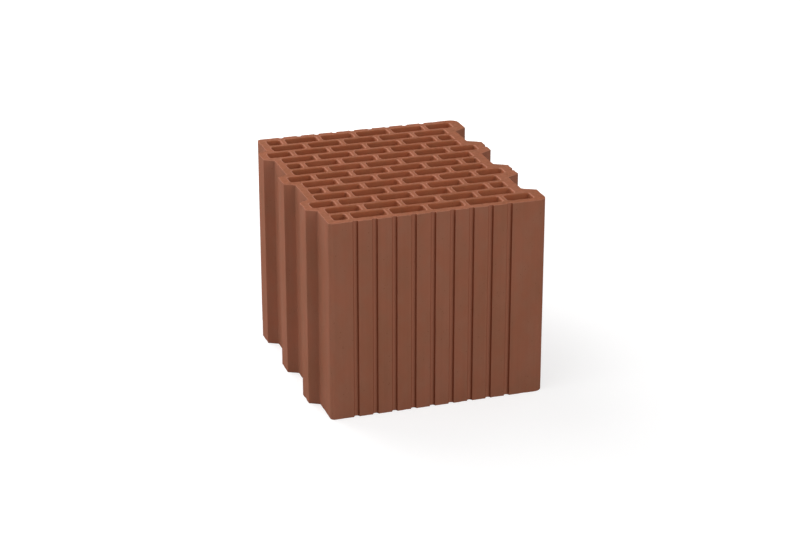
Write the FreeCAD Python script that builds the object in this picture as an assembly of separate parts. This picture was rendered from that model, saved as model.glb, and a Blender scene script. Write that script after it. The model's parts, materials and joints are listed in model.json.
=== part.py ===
import FreeCAD, Part
import math
import os
from FreeCAD import Vector

# Hollow clay block, millimetres, +Z up, standing on its bed with the cells upright.
# The front face looks along -Y.  The side with the narrow tongues is at -X and the
# side with the wide recesses is at +X.  The origin is the middle of the underside's box.

# the block and its upright cells, which stand in staggered rows
HEIGHT = 230.0           # bed to bed
FULL_CELLS = 5           # cells of a full row, side to side
LOCK_COUNT = 3           # tongues on the left side, recesses on the right
CELL_LONG = 38.0         # a full cell, side to side
CELL_DEEP = 16.0         # every cell, front to back
CELL_CORNER = 2.2        # rounding of a cell's upright corners
CORNER_FLATS = 3         # flats that turn such a corner
WEB = 6.0                # clay between two cells
FACE_WALL = 10.0         # clay in front of the first row and behind the last
LEFT_WALL = 9.0          # clay between the left side and a full row
RIGHT_WALL = 12.0        # clay between a full row and the floor of a recess
LEFT_CORNER = 5.0        # radius of the two upright corners on the left
RIGHT_CORNER = 10.5      # radius of the two upright corners on the right
ARRIS = 0.4              # bevel round the outer edge of both beds

# the interlocking sides, all flanks at the same slope
FLANK = math.tan(math.radians(30.0))
TONGUE_REACH = 11.5      # how far a left tongue stands out
TONGUE_END = 24.0        # width of its flat end
TONGUE_WALL = 9.5        # clay between its end and the cell that runs into it
RECESS_DEEP = 15.0       # depth of a right-hand recess
RECESS_FLOOR = 39.0      # width of its flat floor
RECESS_WALL = 13.0       # clay between the end of a right-hand tongue and its cell
LOCK_EDGE = ARRIS + 0.6  # radius of their outer edges, which the bevel runs round
LOCK_ROOT = 1.5          # radius of their inner corners
KEY_RADIUS = 3.0         # half-round plaster grooves up the front and back faces

# what follows from these sizes
column_pitch = CELL_LONG + WEB
row_pitch = CELL_DEEP + WEB
half_cell = (CELL_LONG - WEB) / 2.0
cells_long = FULL_CELLS * column_pitch - WEB
lock_pitch = 4 * row_pitch
row_count = 4 * LOCK_COUNT + 1
body_width = LEFT_WALL + cells_long + RIGHT_WALL
width = body_width + RECESS_DEEP
depth = 2 * FACE_WALL + row_count * row_pitch - WEB
lock_places = [depth / 2 + lock_pitch * (n - (LOCK_COUNT - 1) / 2) for n in range(LOCK_COUNT)]
key_count = 2 * FULL_CELLS - 1
key_places = [body_width / 2 + column_pitch / 2 * (n - (key_count - 1) / 2) for n in range(key_count)]
origin = Vector((width - TONGUE_REACH) / 2, depth / 2, 0.0)


def corner(x, y, radius=0.0, crown=None):
    """A corner of an outline: its radius, and the crown of an arc where one leads on from it."""
    return Vector(x, y, 0.0), radius, crown


def outline_wire(corners):
    """Closed wire through the corners, with tangent arcs at those that have a radius."""
    total = len(corners)
    turns = []
    for index, (here, radius, crown) in enumerate(corners):
        if radius == 0.0:
            turns.append((here, None, here))
            continue
        back = (corners[index - 1][0] - here).normalize()
        ahead = (corners[(index + 1) % total][0] - here).normalize()
        half = back.getAngle(ahead) / 2
        reach = radius / math.tan(half)
        top = here + (back + ahead).normalize() * (radius / math.sin(half) - radius)
        turns.append((here + back * reach, top, here + ahead * reach))
    edges = []
    for index, (first, top, last) in enumerate(turns):
        crown = corners[index][2]
        following = turns[(index + 1) % total][0]
        if top is not None:
            edges.append(Part.Arc(first, top, last).toShape())
        if crown is not None:
            edges.append(Part.Arc(last, crown, following).toShape())
        else:
            edges.append(Part.makeLine(last, following))
    return Part.Wire(edges)


def cell_face(left, right, front, back):
    """Section of one cell, its corners turned in a few flats."""
    turns = (
        (right - CELL_CORNER, front + CELL_CORNER, -90.0),
        (right - CELL_CORNER, back - CELL_CORNER, 0.0),
        (left + CELL_CORNER, back - CELL_CORNER, 90.0),
        (left + CELL_CORNER, front + CELL_CORNER, 180.0),
    )
    points = []
    for x, y, start in turns:
        for step in range(CORNER_FLATS + 1):
            angle = math.radians(start + 90.0 * step / CORNER_FLATS)
            points.append(Vector(x + CELL_CORNER * math.cos(angle), y + CELL_CORNER * math.sin(angle), 0.0))
    return Part.Face(Part.makePolygon(points + points[:1]))


def groove(middle, along, inward):
    """Corners of one half-round groove, from its middle on the face and two unit directions."""
    first = middle - along * KEY_RADIUS
    last = middle + along * KEY_RADIUS
    return [(first, 0.0, middle + inward * KEY_RADIUS), (last, 0.0, None)]


# outline, anticlockwise seen from above, starting at the front left corner
east, north = Vector(1.0, 0.0, 0.0), Vector(0.0, 1.0, 0.0)
outline = [corner(0.0, 0.0, LEFT_CORNER)]
for x in key_places:
    outline += groove(Vector(x, 0.0, 0.0), east, north)
outline.append(corner(width, 0.0, RIGHT_CORNER))

recess_mouth = RECESS_FLOOR + 2 * RECESS_DEEP * FLANK
for number, y in enumerate(lock_places):
    outline.append(corner(width, y - recess_mouth / 2, LOCK_EDGE))
    outline.append(corner(body_width, y - RECESS_FLOOR / 2, LOCK_ROOT))
    outline.append(corner(body_width, y + RECESS_FLOOR / 2, LOCK_ROOT))
    outline.append(corner(width, y + recess_mouth / 2, LOCK_EDGE))
    if number < LOCK_COUNT - 1:
        # a groove of the same section runs up the end of each middle tongue
        outline += groove(Vector(width, y + lock_pitch / 2, 0.0), north, -east)

outline.append(corner(width, depth, RIGHT_CORNER))
for x in reversed(key_places):
    outline += groove(Vector(x, depth, 0.0), -east, -north)
outline.append(corner(0.0, depth, LEFT_CORNER))

tongue_root = TONGUE_END + 2 * TONGUE_REACH * FLANK
for y in reversed(lock_places):
    outline.append(corner(0.0, y + tongue_root / 2, LOCK_ROOT))
    outline.append(corner(-TONGUE_REACH, y + TONGUE_END / 2, LOCK_EDGE))
    outline.append(corner(-TONGUE_REACH, y - TONGUE_END / 2, LOCK_EDGE))
    outline.append(corner(0.0, y - tongue_root / 2, LOCK_ROOT))

# the column of clay, cut to height, with the outer edge of both beds bevelled
column = Part.Face(outline_wire(outline)).extrude(Vector(0.0, 0.0, HEIGHT))
bed_edges = [edge for edge in column.Edges if edge.BoundBox.ZLength < 1e-6]
column = column.makeChamfer(ARRIS, bed_edges)

# cells: full rows start at the left wall; shifted rows stand half a pitch along and end in a
# short cell, or in a longer one where the row runs into a tongue
cells = []
for row in range(row_count):
    front = FACE_WALL + row * row_pitch
    if row % 2 == 1:
        starts = [LEFT_WALL + n * column_pitch for n in range(FULL_CELLS)]
        spans = [(left, left + CELL_LONG) for left in starts]
    else:
        starts = [LEFT_WALL + half_cell + WEB + n * column_pitch for n in range(FULL_CELLS - 1)]
        spans = [(left, left + CELL_LONG) for left in starts]
        left_end = LEFT_WALL
        right_end = LEFT_WALL + cells_long
        into_left = TONGUE_WALL - TONGUE_REACH if row % 4 == 2 else left_end
        into_right = width - RECESS_WALL if row % 4 == 0 else right_end
        spans.append((into_left, left_end + half_cell))
        spans.append((right_end - half_cell, into_right))
    for left, right in spans:
        cells.append(cell_face(left, right, front, front + CELL_DEEP).extrude(Vector(0.0, 0.0, HEIGHT)))

block = column.cut(Part.makeCompound(cells)).Solids[0]
block.translate(-origin)

print("cells", len(cells), "valid", block.isValid(), "volume in litres", round(block.Volume / 1e6, 4))
print("width, depth", width, depth, "grooves from", key_places[0], "to", key_places[-1])
os.makedirs("parts", exist_ok=True)
block.exportStep("parts/clay_block.step")
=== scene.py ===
import json
import math

import bpy
from mathutils import Matrix, Vector

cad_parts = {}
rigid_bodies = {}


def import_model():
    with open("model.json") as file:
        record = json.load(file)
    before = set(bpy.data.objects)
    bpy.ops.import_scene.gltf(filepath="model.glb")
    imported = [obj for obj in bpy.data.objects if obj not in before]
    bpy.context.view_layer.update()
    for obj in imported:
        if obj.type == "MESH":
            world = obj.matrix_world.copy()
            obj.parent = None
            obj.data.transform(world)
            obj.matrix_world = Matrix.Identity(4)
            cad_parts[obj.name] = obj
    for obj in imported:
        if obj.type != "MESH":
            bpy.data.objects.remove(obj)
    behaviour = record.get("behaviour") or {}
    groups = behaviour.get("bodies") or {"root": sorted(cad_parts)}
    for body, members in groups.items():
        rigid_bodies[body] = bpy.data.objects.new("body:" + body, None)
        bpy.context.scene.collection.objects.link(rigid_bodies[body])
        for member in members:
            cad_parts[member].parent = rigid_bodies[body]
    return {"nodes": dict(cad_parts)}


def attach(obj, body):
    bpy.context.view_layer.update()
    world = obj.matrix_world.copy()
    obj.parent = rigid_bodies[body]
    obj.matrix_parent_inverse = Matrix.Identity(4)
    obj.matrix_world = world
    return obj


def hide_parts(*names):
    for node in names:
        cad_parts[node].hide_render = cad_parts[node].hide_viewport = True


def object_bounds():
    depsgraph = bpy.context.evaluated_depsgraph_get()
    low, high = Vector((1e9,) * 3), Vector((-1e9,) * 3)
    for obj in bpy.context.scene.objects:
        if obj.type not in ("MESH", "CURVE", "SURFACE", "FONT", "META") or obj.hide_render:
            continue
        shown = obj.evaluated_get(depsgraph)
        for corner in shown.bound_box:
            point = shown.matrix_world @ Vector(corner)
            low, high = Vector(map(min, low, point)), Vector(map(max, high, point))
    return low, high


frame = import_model()
cad_low, cad_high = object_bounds()

# Clay block: one column of brick clay pressed through a die, so its walls, webs, grooves and
# tongues run straight from bed to bed.  A taut wire cuts it to height, which leaves the two beds
# torn and the arrises soft, and it is then fired to a dull orange brown.
MM = 0.001              # the sizes of the block are in millimetres
OUTER_ARRIS = 0.4       # rounding of the outer edge of both beds
MOUTH_ARRIS = 0.8       # rounding of the mouth of every cell
ARRIS_STEPS = 3         # flats that turn such a rounding
BEVEL_CLEAR = 0.9       # how far the walls are cut back from the beds of the solid
SMOOTH_BAND = 0.5       # narrow band beside each rim, which keeps the shading of the walls even
OUTLINE_STEP = 3.0      # longest step along the section
WALL_LEVELS = 9         # steps up the walls
FLAT_ANGLE = 0.5        # degrees of turn up to which facets are one flat
SHARP_ANGLE = 38.0      # degrees from which an edge stays sharp
UNEVEN_DEPTH = 0.2      # most that a wall lies inside the size of the die
UNEVEN_SIZE = 45.0
UNEVEN_FINENESS = 2
DENT_DEPTH = 0.7        # deepest knock in an edge
DENT_SIZE = 7.0
DENT_FINENESS = 1
DENT_REACH = 3.0        # distance from the rim at which a knock has run out
DENT_START = 0.52       # height of the noise at which a knock starts
DENT_FULL = 0.8         # height of the noise at which it is deepest
GROOVE_DEPTH = 3.2      # a little more than the depth of the plaster grooves
CORNER_ROOM = 20.0      # strip beside each upright corner, where there is no groove
HIGHLIGHT_BAND = 1.0       # width over which the painted highlight on a mouth edge fades out on the bed
QUARTER_TURN = math.pi / 2
CLOSE = 0.01            # lengths under this count as nothing

bpy.ops.object.select_all(action="DESELECT")
block = bpy.data.objects.new("fired_block", frame["nodes"]["clay_block"].data.copy())
bpy.context.scene.collection.objects.link(block)
bpy.context.view_layer.objects.active = block
block.select_set(True)
block.data.materials.clear()
bpy.ops.mesh.customdata_custom_splitnormals_clear()

# The block is worked in millimetres and brought back to metres at the end.  The walls alone are kept
# at first, as whole flats, and are cut clear of the bevel at both beds.
block.scale = (1 / MM, 1 / MM, 1 / MM)
bpy.ops.object.transform_apply(scale=True)
wall_low = cad_low.z / MM + BEVEL_CLEAR
wall_high = cad_high.z / MM - BEVEL_CLEAR
bpy.ops.object.mode_set(mode="EDIT")
bpy.ops.mesh.select_mode(type="EDGE")
bpy.ops.mesh.select_all(action="SELECT")
bpy.ops.mesh.remove_doubles(threshold=CLOSE)
bpy.ops.mesh.select_all(action="SELECT")
bpy.ops.mesh.dissolve_limited(angle_limit=math.radians(FLAT_ANGLE))
bpy.ops.mesh.select_all(action="SELECT")
bpy.ops.mesh.bisect(plane_co=(0, 0, wall_low), plane_no=(0, 0, 1), clear_inner=True)
bpy.ops.mesh.select_all(action="SELECT")
bpy.ops.mesh.bisect(plane_co=(0, 0, wall_high), plane_no=(0, 0, 1), clear_outer=True)


def select_edges(keep, extend=False):
    """Selects the edges whose end points satisfy keep, with the block in edit mode."""
    if not extend:
        bpy.ops.mesh.select_all(action="DESELECT")
    bpy.ops.object.mode_set(mode="OBJECT")
    points = block.data.vertices
    for edge in block.data.edges:
        if keep([points[index] for index in edge.vertices]):
            edge.select = True
    bpy.ops.object.mode_set(mode="EDIT")


def cuts_for(ends):
    """Cuts that divide a level edge of the section into short steps."""
    span = ends[0].co - ends[1].co
    return math.ceil(span.length / OUTLINE_STEP) - 1 if abs(span.z) < CLOSE else 0


# Long straight stretches of the section are divided, so that the clay can be uneven along them.
bpy.ops.object.mode_set(mode="OBJECT")
section = block.data
wanted_cuts = {cuts_for([section.vertices[index] for index in edge.vertices]) for edge in section.edges}
bpy.ops.object.mode_set(mode="EDIT")
for cuts in sorted(wanted_cuts):
    if cuts > 0:
        select_edges(lambda ends: cuts_for(ends) == cuts)
        bpy.ops.mesh.subdivide(number_cuts=cuts)

wall_height = wall_high - wall_low
levels = [wall_low + wall_height * level / WALL_LEVELS for level in range(1, WALL_LEVELS)]
near_lower_bed = [wall_low + SMOOTH_BAND, wall_low + DENT_REACH]
near_upper_bed = [wall_high - DENT_REACH, wall_high - SMOOTH_BAND]
for height in [*near_lower_bed, *near_upper_bed, *levels]:
    bpy.ops.mesh.select_all(action="SELECT")
    bpy.ops.mesh.bisect(plane_co=(0, 0, height), plane_no=(0, 0, 1))

# The outer faces are told from the cells by a value on their points, so that the cells can take richer
# tones as painted bounce light.
bpy.ops.object.mode_set(mode="OBJECT")
bpy.ops.geometry.attribute_add(name="outer_face", domain="POINT", data_type="FLOAT")
bpy.ops.object.mode_set(mode="EDIT")
select_edges(lambda points: all(point.co.x < cad_low.x / MM + CLOSE for point in points))
bpy.ops.mesh.select_linked()
bpy.ops.mesh.attribute_set(value_float=1.0)


def in_groove(point):
    """True in the plaster grooves: a little inside the front or back face, clear of the corners."""
    inside = min(point.co.y - cad_low.y / MM, cad_high.y / MM - point.co.y)
    return CLOSE < inside < GROOVE_DEPTH and abs(point.co.x) < cad_high.x / MM - CORNER_ROOM


# The plaster grooves have a value of their own, for the painted light on their floors and the painted shade
# on their flanks.
bpy.ops.object.mode_set(mode="OBJECT")
bpy.ops.geometry.attribute_add(name="plaster_groove", domain="POINT", data_type="FLOAT")
bpy.ops.object.mode_set(mode="EDIT")
select_edges(lambda points: all(in_groove(point) for point in points))
bpy.ops.mesh.attribute_set(value_float=1.0)

# Drying and firing leave the walls slightly uneven, always a little inside the size of the die.
bpy.ops.object.mode_set(mode="OBJECT")
unevenness = bpy.data.textures.new("uneven_walls", "CLOUDS")
unevenness.noise_scale = UNEVEN_SIZE
unevenness.noise_depth = UNEVEN_FINENESS
warp = block.modifiers.new("uneven_walls", "DISPLACE")
warp.texture = unevenness
warp.texture_coords = "LOCAL"
warp.mid_level = 0.0
warp.strength = -UNEVEN_DEPTH
bpy.ops.object.modifier_apply(modifier=warp.name)

# Handling knocks shallow dents into the edges that the wire has left, outside and round every cell,
# wherever an edge runs straight.  The short edges of the section are those of its curves.
rim_low = wall_low + SMOOTH_BAND + CLOSE
rim_high = wall_high - SMOOTH_BAND - CLOSE
straight = {point.index for point in block.data.vertices if not rim_low < point.co.z < rim_high}
for edge in block.data.edges:
    span = block.data.vertices[edge.vertices[0]].co - block.data.vertices[edge.vertices[1]].co
    if abs(span.z) < CLOSE and span.length < OUTLINE_STEP / 2 - CLOSE:
        straight.difference_update(edge.vertices)
rim = block.vertex_groups.new(name="rim")
rim.add(sorted(straight), 1.0, "REPLACE")
knocks = bpy.data.textures.new("knocks", "CLOUDS")
knocks.noise_scale = DENT_SIZE
knocks.noise_depth = DENT_FINENESS
knocks.use_color_ramp = True
knock_stops = knocks.color_ramp.elements
knock_stops[0].position = DENT_START
knock_stops[0].color = (0.0, 0.0, 0.0, 1.0)
knock_stops[1].position = DENT_FULL
knock_stops[1].color = (1.0, 1.0, 1.0, 1.0)
dents = block.modifiers.new("edge_dents", "DISPLACE")
dents.texture = knocks
dents.texture_coords = "LOCAL"
dents.vertex_group = rim.name
dents.mid_level = 0.0
dents.strength = -DENT_DEPTH
bpy.ops.object.modifier_apply(modifier=dents.name)


def step_rim(inward, rise, level):
    """Carries the selected rim a step into the clay and brings it to a level."""
    bpy.ops.mesh.extrude_edges_move(TRANSFORM_OT_translate={"value": (0, 0, rise)})
    bpy.ops.transform.shrink_fatten(value=-inward)
    bpy.ops.transform.resize(value=(1, 1, 0), center_override=(0, 0, level))


def on_level(points, level):
    """True for an edge that lies at a level."""
    return all(abs(point.co.z - level) < CLOSE for point in points)


def on_outside(points):
    """True for an edge of the outer faces, and not for one of the cells."""
    return round(block.data.attributes["outer_face"].data[points[0].index].value) == 1


def runs_front_to_back(points):
    """True for an edge that runs more from front to back than from side to side; there the mouths get a
    painted highlight.
    """
    span = points[0].co - points[1].co
    return abs(span.y) > abs(span.x)


# The rim of the walls is stepped inward at each end, which turns the outer edge of the bed and the
# mouth of every cell into a rounded arris, and the bed is then filled in, with the cells left open.
# The edges of the mouths that run from front to back keep a value on their points, for a painted highlight.
bpy.ops.geometry.attribute_add(name="highlit_mouth", domain="POINT", data_type="FLOAT")
bpy.ops.object.mode_set(mode="EDIT")
for end, outward in ((wall_high, 1.0), (wall_low, -1.0)):
    select_edges(lambda points: on_level(points, end) and runs_front_to_back(points) and not on_outside(points))
    bpy.ops.mesh.attribute_set(value_float=1.0)
    bed = end + outward * BEVEL_CLEAR
    for outside, radius in ((True, OUTER_ARRIS), (False, MOUTH_ARRIS)):
        select_edges(lambda points: on_level(points, end) and on_outside(points) == outside)
        rise = outward * radius
        spring = bed - rise
        bpy.ops.transform.resize(value=(1, 1, 0), center_override=(0, 0, spring))
        for step in range(ARRIS_STEPS):
            before = QUARTER_TURN * step / ARRIS_STEPS
            after = QUARTER_TURN * (step + 1) / ARRIS_STEPS
            inward = radius * (math.cos(before) - math.cos(after))
            step_rim(inward, rise, spring + rise * math.sin(after))
        bpy.ops.mesh.mark_sharp()
    # The painted highlight fades out over this last band.
    step_rim(HIGHLIGHT_BAND, rise, bed)
    bpy.ops.mesh.attribute_set(value_float=0.0)
    bpy.ops.mesh.mark_sharp(clear=True)
    select_edges(lambda points: on_level(points, bed) and on_outside(points), extend=True)
    bpy.ops.mesh.fill(use_beauty=True)
bpy.ops.mesh.select_all(action="SELECT")
bpy.ops.mesh.normals_make_consistent(inside=False)

bpy.ops.object.mode_set(mode="OBJECT")
block.scale = (MM, MM, MM)
bpy.ops.object.transform_apply(scale=True)
bpy.ops.object.shade_smooth_by_angle(angle=math.radians(SHARP_ANGLE), keep_sharp_edges=True)

# The clay is a dull, warm orange brown with soft mottling.  The walls carry faint upright drag lines
# from the die, the cells are redder and brighter than the outer faces, which is painted bounce light,
# and the beds show the grain that the wire tore.
FAINT_GLOSS = 0.1
clay = bpy.data.materials.new("fired_clay")
clay.use_nodes = True
nodes = clay.node_tree.nodes
links = clay.node_tree.links
shader = nodes["Principled BSDF"]
shader.inputs["Specular IOR Level"].default_value = FAINT_GLOSS
place = nodes.new("ShaderNodeTexCoord")


def stretched_noise(per_metre, detail, roughness):
    """Noise over the block, with its own number of blotches per metre along each axis."""
    mapping = nodes.new("ShaderNodeMapping")
    mapping.inputs["Scale"].default_value = per_metre
    links.new(place.outputs["Object"], mapping.inputs["Vector"])
    noise = nodes.new("ShaderNodeTexNoise")
    noise.inputs["Scale"].default_value = 1.0
    noise.inputs["Detail"].default_value = detail
    noise.inputs["Roughness"].default_value = roughness
    links.new(mapping.outputs["Vector"], noise.inputs["Vector"])
    return noise.outputs["Fac"]


def point_value(name):
    """A value that the points of the block carry."""
    node = nodes.new("ShaderNodeAttribute")
    node.attribute_name = name
    return node.outputs["Fac"]


def ramp(value, span, first, last):
    """The first colour below a span of the value, the last one above it, and a blend between them."""
    node = nodes.new("ShaderNodeValToRGB")
    for element, position, colour in zip(node.color_ramp.elements, span, (first, last)):
        element.position = position
        element.color = (*colour, 1.0)
    links.new(value, node.inputs["Fac"])
    return node.outputs["Color"]


# A mix node has sockets for several kinds of data.  These are its share and those for colours.
MIX_INPUTS = (0, 6, 7)
MIX_RESULT = 2


def mixed(share, under, over, kind="MIX"):
    """One colour over another, by a share that may vary over the block."""
    node = nodes.new("ShaderNodeMix")
    node.data_type = "RGBA"
    node.blend_type = kind
    for index, source in zip(MIX_INPUTS, (share, under, over)):
        socket = node.inputs[index]
        if isinstance(source, (int, float)):
            socket.default_value = source
        elif isinstance(source, tuple):
            socket.default_value = (*source, 1.0)
        else:
            links.new(source, socket)
    return node.outputs[MIX_RESULT]


def tinted(under, tint):
    """A colour darkened all over by a tint."""
    return mixed(1.0, under, tint, "MULTIPLY")


def worked(kind, first, second=0.0):
    """A value worked out from two others, each of which may vary over the block or be a number."""
    node = nodes.new("ShaderNodeMath")
    node.operation = kind
    for socket, source in zip(node.inputs, (first, second)):
        if isinstance(source, (int, float)):
            socket.default_value = source
        else:
            links.new(source, socket)
    return node.outputs["Value"]


def share_between(value, span, least=0.0, most=1.0):
    """The least share up to a span of the value, the most beyond it, and a straight run between."""
    node = nodes.new("ShaderNodeMapRange")
    node.inputs["From Min"].default_value = span[0]
    node.inputs["From Max"].default_value = span[1]
    node.inputs["To Min"].default_value = least
    node.inputs["To Max"].default_value = most
    links.new(value, node.inputs["Value"])
    return node.outputs["Result"]


# Walls have level normals and beds upright ones, which tells them apart all over the block; what lies
# between the two is an arris.
BED_SPAN = (0.5, 0.9)
ARRIS_FROM_WALL = (0.1, 0.4)
ARRIS_FROM_BED = (0.99, 0.9)
surface = nodes.new("ShaderNodeNewGeometry")
facing = nodes.new("ShaderNodeSeparateXYZ")
links.new(surface.outputs["Normal"], facing.inputs["Vector"])
upright = worked("ABSOLUTE", facing.outputs["Z"])
sideways = worked("ABSOLUTE", facing.outputs["X"])
bed_share = share_between(upright, BED_SPAN)
wall_share = worked("SUBTRACT", 1.0, bed_share)
off_wall = share_between(upright, ARRIS_FROM_WALL)
off_bed = share_between(upright, ARRIS_FROM_BED)
arris_share = worked("MULTIPLY", off_wall, off_bed)
outer_share = point_value("outer_face")
# Value for the painted shade and light in the grooves.
groove_shade_mask = point_value("plaster_groove")
# Value for the painted highlight on the mouth edges.
mouth_highlight_share = point_value("highlit_mouth")

# Each kind of surface has its own pair of tones, and a broad mottle leads from one to the other.
BED_DARK = (0.354, 0.124, 0.063)
BED_LIGHT = (0.392, 0.143, 0.079)
# The cells' tones are redder and brighter than those of the outer faces: painted bounce light between the
# cell walls.
CELL_BOUNCE_DARK = (0.410, 0.132, 0.060)
CELL_BOUNCE_LIGHT = (0.450, 0.149, 0.071)
FACE_DARK = (0.357, 0.137, 0.079)
FACE_LIGHT = (0.386, 0.150, 0.091)
MOTTLE_SPAN = (0.35, 0.65)
mottle = stretched_noise(per_metre=(22.0, 22.0, 14.0), detail=4.0, roughness=0.55)
bed_colour = ramp(mottle, MOTTLE_SPAN, BED_DARK, BED_LIGHT)
cell_bounce_colour = ramp(mottle, MOTTLE_SPAN, CELL_BOUNCE_DARK, CELL_BOUNCE_LIGHT)
face_colour = ramp(mottle, MOTTLE_SPAN, FACE_DARK, FACE_LIGHT)
# Painted bounce light: the cells take their richer tones, and the outer faces keep their own.
wall_colour = mixed(outer_share, cell_bounce_colour, face_colour)
colour = mixed(bed_share, wall_colour, bed_colour)

# Smaller patches lean to red or to brown.
RED_PATCH = (1.0, 0.955, 0.93)
BROWN_PATCH = (0.965, 1.0, 1.0)
PATCH_SPAN = (0.38, 0.62)
patches = stretched_noise(per_metre=(75.0, 75.0, 45.0), detail=2.0, roughness=0.5)
colour = tinted(colour, ramp(patches, PATCH_SPAN, RED_PATCH, BROWN_PATCH))

# The die leaves faint upright drag lines on the walls, and the wire tears the grain of the beds along
# its way, from side to side.
DRAG_TONE = (0.95, 0.95, 0.95)
DRAG_SPAN = (0.3, 0.7)
TEAR_TONE = (0.78, 0.76, 0.74)
TEAR_SPAN = (0.35, 0.6)
PLAIN = (1.0, 1.0, 1.0)
drag_lines = stretched_noise(per_metre=(330.0, 330.0, 5.0), detail=3.0, roughness=0.6)
torn_grain = stretched_noise(per_metre=(200.0, 320.0, 200.0), detail=4.0, roughness=0.65)
dragged = tinted(colour, ramp(drag_lines, DRAG_SPAN, DRAG_TONE, PLAIN))
colour = mixed(wall_share, colour, dragged)
torn = tinted(colour, ramp(torn_grain, TEAR_SPAN, TEAR_TONE, PLAIN))
colour = mixed(bed_share, colour, torn)

# Painted light and shade in the grooves: their floors are painted a little paler, and their flanks, which
# face sideways, are painted dark as shade.
GROOVE_PAINTED_FLOOR_LIGHT = (0.410, 0.158, 0.094)
GROOVE_PAINTED_FLANK_SHADE = (0.238, 0.064, 0.028)
FLANK_SPAN = (0.45, 0.8)
groove_painted_shade = ramp(sideways, FLANK_SPAN, GROOVE_PAINTED_FLOOR_LIGHT, GROOVE_PAINTED_FLANK_SHADE)
colour = mixed(worked("MULTIPLY", groove_shade_mask, wall_share), colour, groove_painted_shade)

# Sparse small pores lie open in the browner patches.
PORE_TONE = (0.78, 0.75, 0.72)
PORES_PER_METRE = 210.0
PORE_SPAN = (0.16, 0.08)
PORE_PATCHES = (0.5, 0.6)
pores = nodes.new("ShaderNodeTexVoronoi")
pores.inputs["Scale"].default_value = PORES_PER_METRE
links.new(place.outputs["Object"], pores.inputs["Vector"])
near_pore = share_between(pores.outputs["Distance"], PORE_SPAN)
pore_share = worked("MULTIPLY", near_pore, share_between(patches, PORE_PATCHES))
colour = mixed(pore_share, colour, tinted(colour, PORE_TONE))

# The outer arrises, and the mouth edges that run from front to back, are painted paler: a painted
# highlight.
ARRIS_HIGHLIGHT = (0.520, 0.218, 0.142)
HIGHLIGHT_MOST = 0.7
outer_highlight = worked("MULTIPLY", arris_share, outer_share)
highlight_share = worked("MAXIMUM", outer_highlight, mouth_highlight_share)
colour = mixed(worked("MULTIPLY", highlight_share, HIGHLIGHT_MOST), colour, ARRIS_HIGHLIGHT)
links.new(colour, shader.inputs["Base Color"])

# The same marks stand in the relief, with a fine grain, and some patches are slightly less dull.
ROUGH_LOW = 0.84
ROUGH_HIGH = 0.96
ROUGH_SPAN = (0.3, 0.7)
DRAG_HEIGHT = 0.7
GRAIN_HEIGHT = 0.25
RELIEF_HEIGHT = 0.3 * MM
RELIEF_STRENGTH = 0.35
links.new(share_between(patches, ROUGH_SPAN, ROUGH_LOW, ROUGH_HIGH), shader.inputs["Roughness"])
fine_grain = stretched_noise(per_metre=(900.0, 900.0, 900.0), detail=2.0, roughness=0.6)
drag_relief = worked("MULTIPLY", drag_lines, worked("MULTIPLY", wall_share, DRAG_HEIGHT))
tear_relief = worked("MULTIPLY", torn_grain, bed_share)
grain_relief = worked("MULTIPLY", fine_grain, GRAIN_HEIGHT)
relief = worked("ADD", worked("ADD", drag_relief, tear_relief), grain_relief)
relief = worked("SUBTRACT", relief, pore_share)
bump = nodes.new("ShaderNodeBump")
bump.inputs["Strength"].default_value = RELIEF_STRENGTH
bump.inputs["Distance"].default_value = RELIEF_HEIGHT
links.new(relief, bump.inputs["Height"])
links.new(bump.outputs["Normal"], shader.inputs["Normal"])

block.data.materials.append(clay)
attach(block, "root")
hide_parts("clay_block")

# Studio floor: a wide sheet of dull paper, laid flat under the block.  It keeps the block's soft
# shadow and whitens away from it, into a white surround.
FLOOR_SIZE = 40.0
PAPER_GREY = (0.4, 0.4, 0.4, 1.0)
WHITE = (1.0, 1.0, 1.0, 1.0)
FLOOR_LIFT = 0.7        # own light of the paper near the block, where 1 is white
NEAR_BLOCK = 0.5        # metres from the middle of the block at which the paper starts to whiten
FAR_FROM_BLOCK = 1.0    # metres at which it is white
bpy.ops.object.select_all(action="DESELECT")
bpy.ops.mesh.primitive_plane_add(size=FLOOR_SIZE, location=(0, 0, cad_low.z))
floor = bpy.context.active_object
floor.name = "floor"
bpy.ops.object.transform_apply(location=True)
paper = bpy.data.materials.new("white_paper")
paper.use_nodes = True
paper_nodes = paper.node_tree.nodes
paper_links = paper.node_tree.links
paper_shader = paper_nodes["Principled BSDF"]
paper_shader.inputs["Base Color"].default_value = PAPER_GREY
paper_shader.inputs["Roughness"].default_value = 1.0
paper_shader.inputs["Emission Color"].default_value = WHITE


def seen_directly(tree):
    """1 for rays that reach the eye straight, by a reflection or through glass, otherwise 0."""
    rays = tree.nodes.new("ShaderNodeLightPath")
    first = tree.nodes.new("ShaderNodeMath")
    first.operation = "MAXIMUM"
    tree.links.new(rays.outputs["Is Camera Ray"], first.inputs[0])
    tree.links.new(rays.outputs["Is Glossy Ray"], first.inputs[1])
    second = tree.nodes.new("ShaderNodeMath")
    second.operation = "MAXIMUM"
    tree.links.new(first.outputs["Value"], second.inputs[0])
    tree.links.new(rays.outputs["Is Transmission Ray"], second.inputs[1])
    return second.outputs["Value"]


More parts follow.
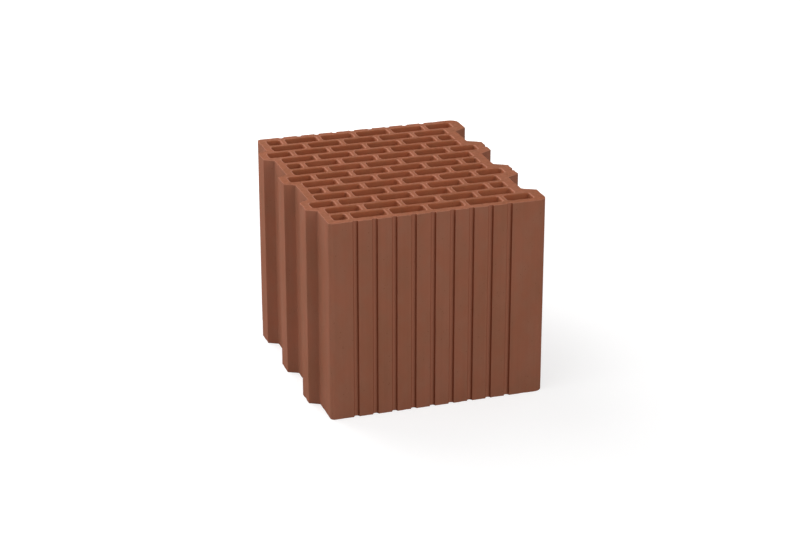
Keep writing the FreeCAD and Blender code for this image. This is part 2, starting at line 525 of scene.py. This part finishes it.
floor_place = paper_nodes.new("ShaderNodeTexCoord")
from_middle = paper_nodes.new("ShaderNodeVectorMath")
from_middle.operation = "LENGTH"
paper_links.new(floor_place.outputs["Object"], from_middle.inputs[0])
whitening = paper_nodes.new("ShaderNodeMapRange")
whitening.inputs["From Min"].default_value = NEAR_BLOCK
whitening.inputs["From Max"].default_value = FAR_FROM_BLOCK
whitening.inputs["To Min"].default_value = FLOOR_LIFT
whitening.inputs["To Max"].default_value = 1.0
paper_links.new(from_middle.outputs["Value"], whitening.inputs["Value"])
lift = paper_nodes.new("ShaderNodeMath")
lift.operation = "MULTIPLY"
paper_links.new(seen_directly(paper.node_tree), lift.inputs[0])
paper_links.new(whitening.outputs["Result"], lift.inputs[1])
paper_links.new(lift.outputs["Value"], paper_shader.inputs["Emission Strength"])
floor.data.materials.append(paper)

# Surround: white to the eye on every side, though it lights the block only faintly.
SURROUND_LIGHT = 0.05
world = bpy.data.worlds.new("surround")
bpy.context.scene.world = world
world.use_nodes = True
surround = world.node_tree.nodes["Background"]
surround.inputs["Color"].default_value = WHITE
surround_level = world.node_tree.nodes.new("ShaderNodeMapRange")
surround_level.inputs["To Min"].default_value = SURROUND_LIGHT
surround_level.inputs["To Max"].default_value = 1.0
world.node_tree.links.new(seen_directly(world.node_tree), surround_level.inputs["Value"])
world.node_tree.links.new(surround_level.outputs["Result"], surround.inputs["Strength"])

# Lamps: six broad, soft squares turned to the middle of the block.  They stand high and low behind it,
# above it, on the left, in front and on the right.
LAMP_SIZE = 1.3
LAMP_REACH = 2.0


def direction(azimuth, elevation):
    """Unit vector from the block towards angles in degrees, with azimuth 0 in front and 90 on the right."""
    turn = math.radians(azimuth)
    lean = math.radians(elevation)
    return Vector((math.sin(turn) * math.cos(lean), -math.cos(turn) * math.cos(lean), math.sin(lean)))


def soft_lamp(name, azimuth, elevation, power):
    """Square lamp that shines on the block from a direction."""
    outward = direction(azimuth, elevation)
    lamp = bpy.data.lights.new(name, "AREA")
    lamp.size = LAMP_SIZE
    lamp.energy = power
    lamp_object = bpy.data.objects.new(name, lamp)
    lamp_object.location = Vector((0, 0, cad_high.z / 2)) + outward * LAMP_REACH
    lamp_object.rotation_euler = outward.to_track_quat("Z", "Y").to_euler()
    bpy.context.scene.collection.objects.link(lamp_object)


soft_lamp("back_lamp", azimuth=-150.0, elevation=55.0, power=18.5)
soft_lamp("low_back_lamp", azimuth=-160.0, elevation=25.0, power=15.0)
soft_lamp("upper_lamp", azimuth=-60.0, elevation=55.0, power=10.8)
soft_lamp("left_lamp", azimuth=-90.0, elevation=15.0, power=8.3)
soft_lamp("front_lamp", azimuth=20.0, elevation=25.0, power=15.1)
soft_lamp("right_lamp", azimuth=120.0, elevation=12.0, power=6.0)

# Camera at the photograph's place: its angles, distance and lens were fitted to the block's outline.
VIEW_AZIMUTH = -18.289  # degrees
VIEW_ELEVATION = 21.718
VIEW_CENTRE = Vector((5.75 * MM, 0.0, 115.0 * MM))  # middle of the block without its left tongues
VIEW_DISTANCE = 2459.1 * MM
VIEW_RIGHT = 3.73 * MM  # how far the line of sight passes the centre
VIEW_UP = -4.88 * MM
VIEW_LIMIT = 100.0      # metres that the camera sees
SENSOR_WIDTH = 36.0
IMAGE_WIDTH = 800
FOCAL_PIXELS = 2124.3

view_turn = math.radians(VIEW_AZIMUTH)
right = Vector((math.cos(view_turn), math.sin(view_turn), 0.0))
back = direction(VIEW_AZIMUTH, VIEW_ELEVATION)
up = back.cross(right)
lens = bpy.data.cameras.new("camera")
lens.sensor_fit = "HORIZONTAL"
lens.sensor_width = SENSOR_WIDTH
lens.lens = FOCAL_PIXELS * SENSOR_WIDTH / IMAGE_WIDTH
lens.clip_end = VIEW_LIMIT
camera = bpy.data.objects.new("camera", lens)
camera.matrix_world = Matrix((right, up, back)).transposed().to_4x4()
camera.location = VIEW_CENTRE + right * VIEW_RIGHT + up * VIEW_UP + back * VIEW_DISTANCE
bpy.context.scene.collection.objects.link(camera)
bpy.context.scene.camera = camera
bpy.context.scene.view_settings.view_transform = "Standard"
